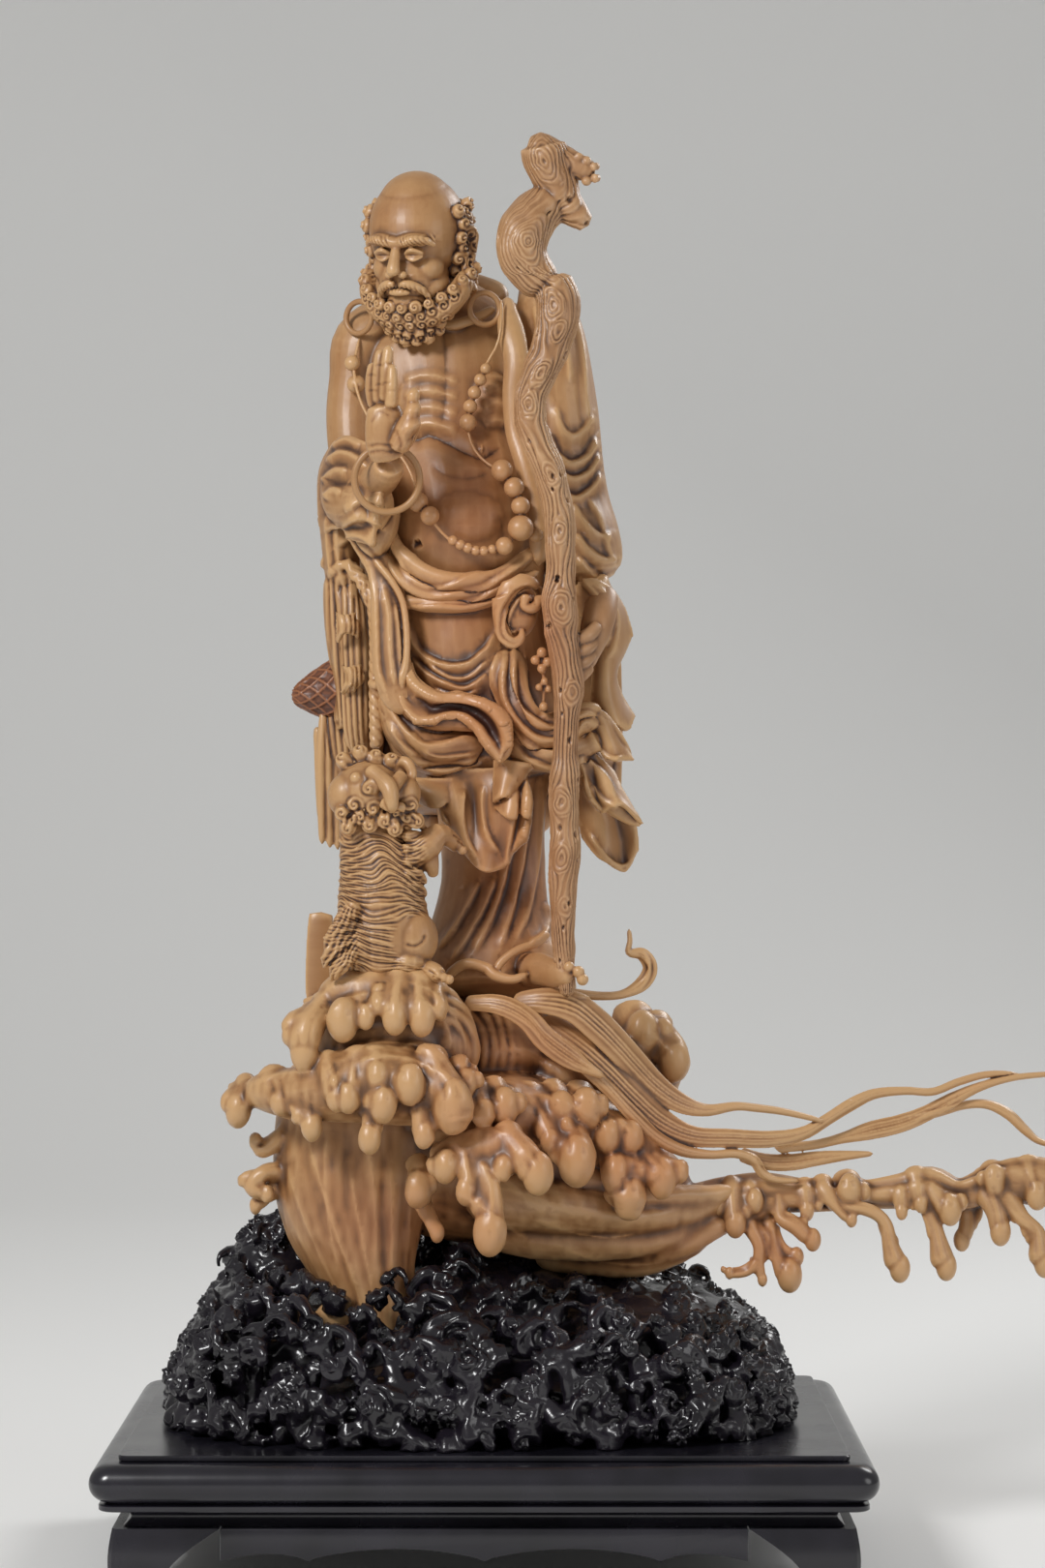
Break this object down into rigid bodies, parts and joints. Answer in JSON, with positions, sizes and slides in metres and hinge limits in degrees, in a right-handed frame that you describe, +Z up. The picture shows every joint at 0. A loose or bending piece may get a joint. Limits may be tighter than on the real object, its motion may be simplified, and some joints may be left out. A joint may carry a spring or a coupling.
{
  "type": "carved standing monk figurine",
  "caption": "Boxwood carving of a bearded monk with staff and lion standing on a breaking wave, set in a black rock base on a moulded plinth.",
  "frame": {"origin": "on the ground under the middle of the whole object's width and depth", "axes": "+Z up from the plinth's feet, the figure faces -Y and the wave's tail runs to +X"},
  "size_m": [0.5064, 0.27, 0.7248],
  "materials": {
    "boxwood": "oiled, satin",
    "black_wood": "black, polished",
    "plinth_lacquer": "black, lacquered"
  },
  "bodies": {
    "root": {"carving": "boxwood", "bracelet": "boxwood", "earring_left": "boxwood", "earring_right": "boxwood", "rock_base": "black_wood", "plinth_board": "plinth_lacquer", "plinth_waist": "plinth_lacquer", "apron_front": "plinth_lacquer", "apron_back": "plinth_lacquer", "apron_left": "plinth_lacquer", "apron_right": "plinth_lacquer", "foot_1": "plinth_lacquer", "foot_2": "plinth_lacquer", "foot_3": "plinth_lacquer", "foot_4": "plinth_lacquer"}
  },
  "joints": []
}
